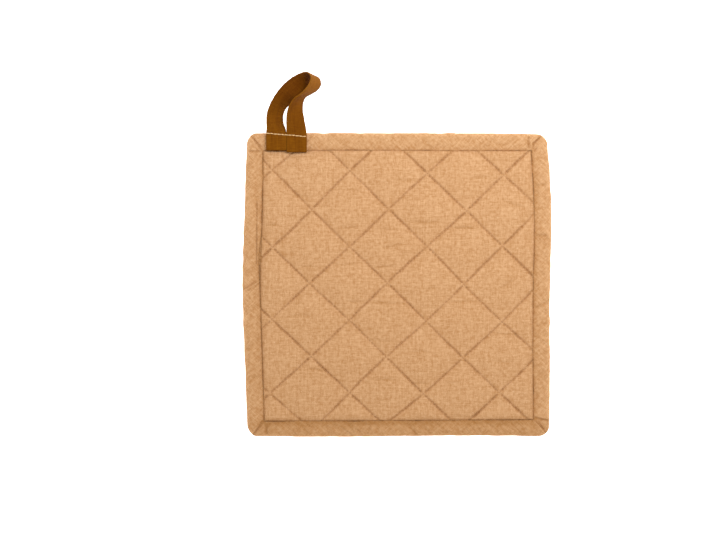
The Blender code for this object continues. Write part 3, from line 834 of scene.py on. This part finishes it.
def build_quilting_stitches():
    pitch, length = 2.7, 2.25
    for layer in ("front", "back"):
        runs = []
        rng = np.random.default_rng(5 if layer == "front" else 6)
        for row in QUILTING:
            x, y = row_points(row, pitch / 6)
            count = int((len(x) - 1) // 6)
            for i in range(count):
                a, b = i * 6, i * 6 + 5
                wx, wy = x[[a, b]], y[[a, b]]
                top, floor, _ = pad_heights(*back_to_square(wx, wy))
                if layer == "front":
                    z0, z1, up = top[0] - 0.08, top[1] - 0.08, 0.26
                else:
                    z0, z1, up = floor[0] + 0.05, floor[1] + 0.05, -0.22
                jog = rng.uniform(-0.05, 0.05, 2)
                runs.append(((wx[0] + MIDDLE[0] + jog[0], wy[0] + MIDDLE[1] + jog[1], z0),
                             (wx[1] + MIDDLE[0] + jog[0], wy[1] + MIDDLE[1] - jog[1], z1), up))
        stitch_tubes("quilting_stitches_" + layer, runs, 0.17, quilting_thread,
                     sides=5, rings=6)


# ------------------------------------------------------------------ binding
def outline(half, radius, sides, per_side, per_corner):
    """One turn round the square, anticlockwise from the right side's top corner."""
    hx, hy = half
    xs, ys, names = [], [], []
    for sx, sy, start in ((1, 1, 0.0), (-1, 1, 90.0), (-1, -1, 180.0), (1, -1, 270.0)):
        a = np.radians(start + 90.0 * np.arange(per_corner + 1) / per_corner)
        cx, cy = sx * (hx - radius), sy * (hy - radius)
        xs.append(cx + radius * np.cos(a))
        ys.append(cy + radius * np.sin(a))
        t = np.arange(1, per_side) / per_side
        if start == 0.0:
            xs.append((hx - radius) * (1 - 2 * t)); ys.append(np.full(len(t), hy))
        elif start == 90.0:
            xs.append(np.full(len(t), -hx)); ys.append((hy - radius) * (1 - 2 * t))
        elif start == 180.0:
            xs.append((hx - radius) * (2 * t - 1)); ys.append(np.full(len(t), -hy))
        else:
            xs.append(np.full(len(t), hx)); ys.append((hy - radius) * (2 * t - 1))
    x, y = np.concatenate(xs), np.concatenate(ys)
    fx, fy = (x / hx + 1) / 2, (y / hy + 1) / 2
    # each point moves with the side, or the two sides of its corner, that it is on
    near = 1.6 * max(radius, 0.6)
    right, left = fade((x - hx + near) / near), fade((-x - hx + near) / near)
    high, low = fade((y - hy + near) / near), fade((-y - hy + near) / near)
    dx = side_offset(sides, "right", fy) * right - side_offset(sides, "left", fy) * left
    dy = side_offset(sides, "top", fx) * high - side_offset(sides, "bottom", fx) * low
    return np.stack([x + dx, y + dy], 1)


def binding_relief(x, y, across):
    """Height of the binding's folds and puckers, and their painted shade, at points about the middle."""
    out = np.zeros_like(x)
    hollow = np.zeros_like(x)
    for f in FOLDS:
        close = (np.abs(x - (f.x0 + f.x1) / 2) < 16) & (np.abs(y - (f.y0 + f.y1) / 2) < 16)
        if not close.any():
            continue
        d, side, along, past = segment_distance(x[close], y[close], f)
        end = np.exp(-(past / 0.7) ** 2)
        groove = -2.0 * f.deep * np.exp(-(side / (f.wide * 1.25)) ** 2) * end
        lap = 1.5 * f.lap * np.tanh(side / 0.35) * np.exp(-np.abs(side) / 2.6) * end
        out[close] += groove + lap
        # painted shade in each fold's groove
        hollow[close] += 1.35 * f.deep * np.exp(-(side / (f.wide * 1.05)) ** 2) * end
    # bias cloth pulled round an edge wrinkles on the slant
    side_run = np.where(np.abs(x) > np.abs(y), y, x)
    deep = np.where(np.abs(x) > np.abs(y), np.abs(x), np.abs(y))
    slant = side_run + (deep - 97.0) * np.where(np.abs(x) > np.abs(y), 0.9, -0.9)
    low = np.where((np.abs(y) > np.abs(x)) & (y < 0), 1.9, 1.0)
    out += low * 0.19 * noise(slant, deep * 0.5, 2.9, 21) * fade((1.04 - across) / 0.25) * fade(across / 0.15)
    out += low * 0.12 * noise(x, y, 5.0, 22)
    # here and there the slanting wrinkles are pressed into sharp troughs
    sharp = noise(slant + 3.0 * noise(x, y, 14.0, 26), deep * 0.25, 4.6, 25)
    some = fade((noise(side_run, deep * 0.2, 11.0, 27) + 0.35) / 0.7)
    trough = some * np.exp(-(sharp / 0.16) ** 2) * fade((1.0 - across) / 0.1) * fade(across / 0.25)
    out -= low * 0.26 * trough
    # painted shade in the troughs, stronger on the bottom side
    hollow += (0.12 + 0.16 * (low > 1)) * trough
    # short gathers along the seam
    out += 0.30 * noise(side_run, deep * 0.12, 1.9, 23) * np.exp(-((across - 0.86) / 0.13) ** 2)
    # stray row of stitches on the left side
    y0, y1, xs = STRAY_SEAM
    on = fade((y - y0) / 3.0) * fade((y1 - y) / 3.0) * (x < 0)
    line = xs + 0.12 * noise(y, y * 0, 6.0, 24)
    out += on * (-0.45 * np.exp(-((x - line) / 0.55) ** 2)
                 + 0.28 * np.exp(-((x - line - 1.35) / 0.8) ** 2))
    # painted shade along the stray row's groove, in dots at its stitches
    dots = 0.75 + 0.45 * np.sin(y * 2 * np.pi / 2.7)
    hollow += on * dots * np.exp(-((x - line) / 0.5) ** 2)
    # painted shade at the seam, strongest on the bottom side, which lies away from the light
    for shade in FOLD_SHADES:
        here = {"top": (y > 0) & (y > np.abs(x)), "bottom": (y < 0) & (-y >= np.abs(x)),
                "left": (x < 0) & (-x >= y) & (-x > -y), "right": (x > 0) & (x >= y) & (x > -y)}
        uneven = 1 + 0.30 * noise(side_run, deep * 0.1, 8.0, 36)
        hollow += here[shade.side] * (
            shade.narrow * np.exp(-((1.0 - across) / 0.05) ** 2)
            + shade.broad * uneven * np.exp(-((1.0 - across) / shade.reach) ** 2))
    return out, hollow


def tape_press(x, y):
    """How far the webbing's ends press the binding down."""
    wx, wy = x + MIDDLE[0] - PLACE[0], y + MIDDLE[1] - PLACE[1]
    in_x = fade((wx + 95.2) / 1.6) * fade((-63.9 - wx) / 1.6)
    in_y = fade((wy - 73.2) / 1.5)
    return in_x * in_y


def dense_section():
    """The binding's section, with the part that shows in even steps of a third
    of a millimetre."""
    shown = [s for s in BINDING if s.name.startswith(("top", "outer"))]
    rest = [s for s in BINDING if s not in shown]
    fine = np.linspace(0, 1, 1201)
    across = through([s.across for s in shown], fine)
    height = through([s.height for s in shown], fine)
    run = np.concatenate([[0], np.cumsum(np.hypot(np.diff(across) * 12.4, np.diff(height)))])
    at = np.interp(np.linspace(0, run[-1], 43), run, fine)
    across, height = np.interp(at, fine, across), np.interp(at, fine, height)
    names = [shown[min(int(a * (len(shown) - 1)), len(shown) - 1)].name for a in at]
    return list(zip(names, across, height)) + [(s.name, s.across, s.height) for s in rest]


def build_binding():
    per_side, per_corner = PER_SIDE, PER_CORNER
    outer = outline(OUTER_HALF, OUTER_RADIUS, OUTER_SIDES, per_side, per_corner)
    seam = outline(SEAM_HALF, SEAM_RADIUS, SEAM_SIDES, per_side, per_corner)
    count = len(outer)
    t = np.arange(count) / count * 2 * np.pi
    # the outer edge is not quite even: it follows the puckers
    ox, oy = outer[:, 0], outer[:, 1]
    bulge = 0.22 * noise(ox + 300, oy + 300, 6.5, 31) + 0.09 * noise(ox, oy, 2.7, 32)
    out = outer - seam
    out /= np.linalg.norm(out, axis=1)[:, None]
    outer = outer + out * bulge[:, None]
    seam_wave = 0.22 * noise(seam[:, 0], seam[:, 1], 7.0, 33) + 0.10 * noise(seam[:, 0], seam[:, 1], 2.4, 34)
    seam = seam + out * seam_wave[:, None]
    # below the stray stitches the seam is drawn outwards
    seam[:, 0] -= (seam[:, 0] < 0) * DRAWN[2] * np.exp(-((seam[:, 1] - DRAWN[0]) / DRAWN[1]) ** 2)
    rings, painted_shades, lays = [], [], []
    section = dense_section()
    width = np.array([s[1] for s in section]) * 12.4
    rise = np.array([s[2] for s in section])
    run = np.concatenate([[0], np.cumsum(np.hypot(np.diff(width), np.diff(rise)))])
    for (name, across, height), so_far in zip(section, run):
        # the strip before it is folded, spread outwards from the seam
        lay = (seam + out * so_far) * MM
        lays.append(np.column_stack([lay, np.zeros(count)]))
        p = outer * (1 - across) + seam * across
        z = np.full(count, height)
        x, y = p[:, 0], p[:, 1]
        if name.startswith(("top", "outer")):
            weight = fade((height - 3.0) / 2.4)
            relief, hollow = binding_relief(x, y, np.full(count, across))
            z, hollow = z + weight * relief, fade((height - 2.6) / 1.2) * hollow
            if name.startswith("top"):
                # the folded edge lies as low as the stitches pull it
                z = np.maximum(z, 4.35 + 0.5 * fade((1.0 - across) / 0.1))
            press = tape_press(x, y)
            z = z * (1 - press) + np.minimum(z, 6.15) * press
        else:
            hollow = np.zeros(count)
            if name.startswith("bottom") and height > 0.05:
                z = z + 0.10 * np.abs(noise(x, y, 2.4, 35))
        painted_shades.append(np.clip(hollow, 0, 1.3))
        rings.append(np.stack([x + MIDDLE[0], y + MIDDLE[1], z], 1))
    points = np.stack(rings)              # section, place, xyz
    faces = grid_faces(len(rings), count, wrap_rows=True, wrap_cols=True)
    obj = from_arrays("bias_binding", points.reshape(-1, 3), faces, bias_cloth)
    flat = np.concatenate(painted_shades)
    add_vector(obj, "hollow", np.stack([flat, 0 * flat, 0 * flat], 1))
    add_vector(obj, "lay", np.concatenate(lays))
    face_outwards(obj)
    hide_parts("binding")
    return obj, seam


def build_seam_stitches(seam):
    """The row that holds the binding: sunk in the ditch on the front, and 1.4 mm
    in from the binding's edge on the back."""
    closed = np.vstack([seam, seam[:1]])
    run = np.concatenate([[0], np.cumsum(np.linalg.norm(np.diff(closed, axis=0), axis=1))])
    outer = outline(OUTER_HALF, OUTER_RADIUS, OUTER_SIDES, PER_SIDE, PER_CORNER)
    outer = np.vstack([outer, outer[:1]])
    pitch = 2.7
    front, back = [], []
    rng = np.random.default_rng(8)

    def at(curve, s):
        return np.array([np.interp(s, run, curve[:, k]) for k in (0, 1)])

    for s in np.arange(0.5, run[-1] - pitch, pitch):
        a, b = at(closed, s), at(closed, s + 2.25)
        ao, bo = at(outer, s), at(outer, s + 2.25)
        if np.linalg.norm(b - a) < 1.6:
            continue
        # in the ditch, or on the binding where the row strays
        y0, y1, xs = STRAY_SEAM
        if a[0] < -90 and y0 < a[1] < y1:
            # lifted onto the binding
            ax, bx = xs + 0.1, xs + 0.1
            front.append(((ax + MIDDLE[0], a[1] + MIDDLE[1], 5.50),
                          (bx + MIDDLE[0], b[1] + MIDDLE[1], 5.50), 0.22))
        else:
            wa, wb = a * 0.992, b * 0.992
            front.append(((wa[0] + MIDDLE[0], wa[1] + MIDDLE[1], 3.98),
                          (wb[0] + MIDDLE[0], wb[1] + MIDDLE[1], 3.98), 0.16))
        ca, cb = a * 0.885 + ao * 0.115, b * 0.885 + bo * 0.115
        back.append(((ca[0] + MIDDLE[0], ca[1] + MIDDLE[1], 0.36),
                     (cb[0] + MIDDLE[0], cb[1] + MIDDLE[1], 0.36), -0.12))
    one = stitch_tubes("seam_stitches_front", front, 0.17, quilting_thread, 5, 6)
    two = stitch_tubes("seam_stitches_back", back, 0.17, quilting_thread, 5, 6)
    return one, two


# ------------------------------------------------------------------ webbing loop
def smooth_curve(stations, values, steps):
    """Points on a cubic curve through rows of numbers, steps to each span."""
    stations, values = np.asarray(stations, float), np.asarray(values, float)
    knots = np.concatenate([[0], np.cumsum(np.linalg.norm(np.diff(stations, axis=0), axis=1))])
    last = len(values) - 1
    out = []
    slope = [(values[min(i + 1, last)] - values[max(i - 1, 0)])
             / (knots[min(i + 1, last)] - knots[max(i - 1, 0)]) for i in range(last + 1)]
    for i in range(last):
        span = knots[i + 1] - knots[i]
        for k in range(steps):
            out.append(hermite(values[i], values[i + 1], span * slope[i], span * slope[i + 1],
                               k / steps))
    out.append(values[last])
    return np.array(out)


def tape_path(steps):
    lower = TAPE_UNDER + TAPE_THICK / 2
    upper = lower + TAPE_THICK + FOLD_GAP
    radius = (upper - lower) / 2
    level = np.array([-1.0, 0, 0])

    def turned_under(x, fold_y):
        run = [((x, fold_y + TUCK_LENGTH * (1 - k / 10), lower), level) for k in range(10)]
        for k in range(13):
            a = math.radians(-90 - 180 * k / 12)
            run.append(((x, fold_y + radius * math.cos(a),
                         (lower + upper) / 2 + radius * math.sin(a)), level))
        run += [((x, fold_y + k, upper), level) for k in (1.2, 2.4, 3.7, 5.0, 6.3, 7.6)]
        return run

    first, last = LOOP[0], LOOP[-1]
    places = [(s.x, s.y, s.z) for s in LOOP]
    ahead = [(first.x, first.y - 4.0, first.z)] + places + [(last.x, last.y - 4.0, last.z)]
    angles = [(first.turn, 0)] + [(s.turn, s.rise) for s in LOOP] + [(last.turn, 0)]
    middles = smooth_curve(ahead, ahead, steps)[steps:-steps]
    leans = np.radians(smooth_curve(ahead, angles, steps)[steps:-steps])
    free = [(m, np.array([math.cos(t) * math.cos(r), math.sin(t) * math.cos(r), math.sin(r)]))
            for m, (t, r) in zip(middles, leans)]
    path = turned_under(first.x, FOLD_Y["left"]) + free
    path += turned_under(last.x, FOLD_Y["right"])[::-1]
    return np.array([p for p, _ in path], float), np.array([u for _, u in path], float)


def build_loop():
    middle, up = tape_path(12)
    run = np.gradient(middle, axis=0)
    run /= np.linalg.norm(run, axis=1)[:, None]
    up = up - run * (up * run).sum(1)[:, None]
    up /= np.linalg.norm(up, axis=1)[:, None]
    face = np.cross(run, up)
    along = np.concatenate([[0], np.cumsum(np.linalg.norm(np.diff(middle, axis=0), axis=1))])
    # section: a flat tape with soft edges, a shade thinner at the selvedges
    half, thick = TAPE_WIDTH / 2, TAPE_THICK / 2
    flat = np.linspace(-half + 0.5, half - 0.5, 27)
    corner = np.radians(np.linspace(-72, 72, 7))
    right = [(half - 0.5 + 0.5 * math.cos(a), thick * 0.92 * math.sin(a)) for a in corner]
    left = [(-half + 0.5 - 0.5 * math.cos(a), -thick * 0.92 * math.sin(a)) for a in corner]
    body = [(w, thick * (1 - 0.06 * (abs(w) / half) ** 6)) for w in flat]
    section = ([(w, -h) for w, h in body] + right + body[::-1] + left)
    section = np.array(section)
    rows, cols = len(middle), len(section)
    w, h = section[:, 0], section[:, 1]
    s = along[:, None]
    # the tape is not a perfect ribbon: it cups and ripples slightly
    free = fade((along - 21.0) / 8.0) * fade((along[-1] - 21.0 - along) / 8.0)
    cup = 0.10 * np.sin(s / 7.0) * free[:, None] * ((w / half) ** 2 - 0.4)[None, :]
    ripple = 0.07 * noise(s + 0 * w, w[None, :] + 0 * s, 5.0, 41) * free[:, None]
    edge = 0.09 * noise(s + 0 * w, np.sign(w)[None, :] * 9 + 0 * s, 2.2, 42) * (np.abs(w) > half - 0.6)
    # sewn flat, the two ends touch side by side
    edge = edge * free[:, None] + 0.145 * (1 - free[:, None]) * (np.abs(w) > half - 0.6)
    across = w[None, :] + edge * np.sign(w)[None, :]
    points = (middle[:, None, :] + across[:, :, None] * up[:, None, :]
              + (h[None, :] + cup + ripple)[:, :, None] * face[:, None, :])
    points[:, :, 0] += PLACE[0]
    points[:, :, 1] += PLACE[1]
    faces = grid_faces(rows, cols, wrap_cols=True).tolist()
    faces += [list(range(cols))[::-1], [(rows - 1) * cols + k for k in range(cols)]]
    obj = from_arrays("webbing_loop", points.reshape(-1, 3), faces, webbing)
    lay = np.stack([np.repeat(along, cols) * MM, np.tile(w, rows) * MM,
                    np.tile(np.sign(h), rows)], 1)
    add_vector(obj, "lay", lay)
    # the face that looks up on the left leg is the one inside the bend
    upward = np.sign(face[np.argmin(np.abs(along - 28.0)), 2])
    # painted shade on the inner face, inside the bend
    inner = (fade((along - 40.0) / 14.0) * fade((88.0 - along) / 8.0))[:, None] * (np.sign(h) == upward)[None, :]
    # the right leg hangs in the shade of the bend
    inner = inner + 0.35 * fade((along - 100.0) / 8.0)[:, None] * fade((135.0 - along) / 8.0)[:, None]
    # painted highlight on the outer face where the tape turns over and faces the light
    outer = (fade((along - 74.0) / 6.0) * fade((103.0 - along) / 12.0))[:, None] * (np.sign(h) != upward)[None, :]
    inner, outer = inner.ravel().astype(float), outer.ravel().astype(float)
    add_vector(obj, "hollow", np.stack([inner, outer, 0 * inner], 1))
    face_outwards(obj)
    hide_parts("loop")
    return obj, along[-1]


def build_tape_stitches(tape):
    """One light row across both legs, where they leave the pad."""
    spots = np.empty(3 * len(tape.data.vertices))
    tape.data.vertices.foreach_get("co", spots)
    spots = spots.reshape(-1, 3) / MM

    def place(x, y):
        x, y = x + PLACE[0], y + PLACE[1]
        near = np.hypot(spots[:, 0] - x, spots[:, 1] - y) < 0.8
        return x, y, spots[near, 2].max() - 0.02

    x0, y0, x1, y1 = -93.8, 87.7, -65.3, 85.3
    runs = []
    count = 11
    rng = np.random.default_rng(3)
    for i in range(count):
        a, b = i / count, (i + 0.93) / count
        jog = rng.uniform(-0.14, 0.14, 2)
        runs.append((place(x0 + (x1 - x0) * a, y0 + (y1 - y0) * a + jog[0]),
                     place(x0 + (x1 - x0) * b, y0 + (y1 - y0) * b + jog[1]), 0.30))
    return stitch_tubes("loop_stitches", runs, 0.36, tan_thread, sides=8, rings=11)


pad = build_pad()
build_quilting_stitches()
binding, seam_line = build_binding()
seam_front, seam_back = build_seam_stitches(seam_line)
loop, tape_length = build_loop()
loop_stitches = build_tape_stitches(loop)

# ------------------------------------------------------------------ stage
floor_material, floor_tree, floor_shader = new_material("floor", 0.9, 0.0, (1, 1, 1))
floor_nodes = Nodes(floor_tree)
floor_place = floor_nodes.add("ShaderNodeTexCoord").outputs["Object"]
floor_nodes.link(floor_nodes.mix(floor_nodes.noise(floor_place, 4.0), (0.93, 0.93, 0.93, 1),
                                 (0.94, 0.94, 0.94, 1)), floor_shader.inputs["Base Color"])
# a white sheet lit from behind, so that the object hardly throws a shadow
floor_shader.inputs["Emission Color"].default_value = (1, 1, 1, 1)
floor_shader.inputs["Emission Strength"].default_value = 1.3
bpy.ops.mesh.primitive_plane_add(size=6.0, location=(0, 0, -0.0002))
floor = bpy.context.object
floor.name = "floor"
floor.data.materials.append(floor_material)

scene = bpy.context.scene
scene.view_settings.view_transform = "Standard"
scene.view_settings.look = "None"
world = bpy.data.worlds.new("studio")
scene.world = world
world.use_nodes = True
world.node_tree.nodes["Background"].inputs["Color"].default_value = (1.0, 0.975, 0.925, 1)
world.node_tree.nodes["Background"].inputs["Strength"].default_value = 0.91


def area_light(name, place, aim, size, power, colour=(1, 1, 1)):
    light = bpy.data.lights.new(name, "AREA")
    light.shape, light.size, light.energy, light.color = "SQUARE", size, power, colour
    obj = bpy.data.objects.new(name, light)
    obj.location = place
    obj.rotation_euler = (Vector(aim) - Vector(place)).to_track_quat("-Z", "Y").to_euler()
    scene.collection.objects.link(obj)
    return obj


# the lamp is turned away from the cloth, which lies in the falling edge of its light
area_light("key", (0.16, 0.30, 0.65), (0.235, 0.585, 0), 0.27, 4.15,
           (0.98, 1.01, 1.08))
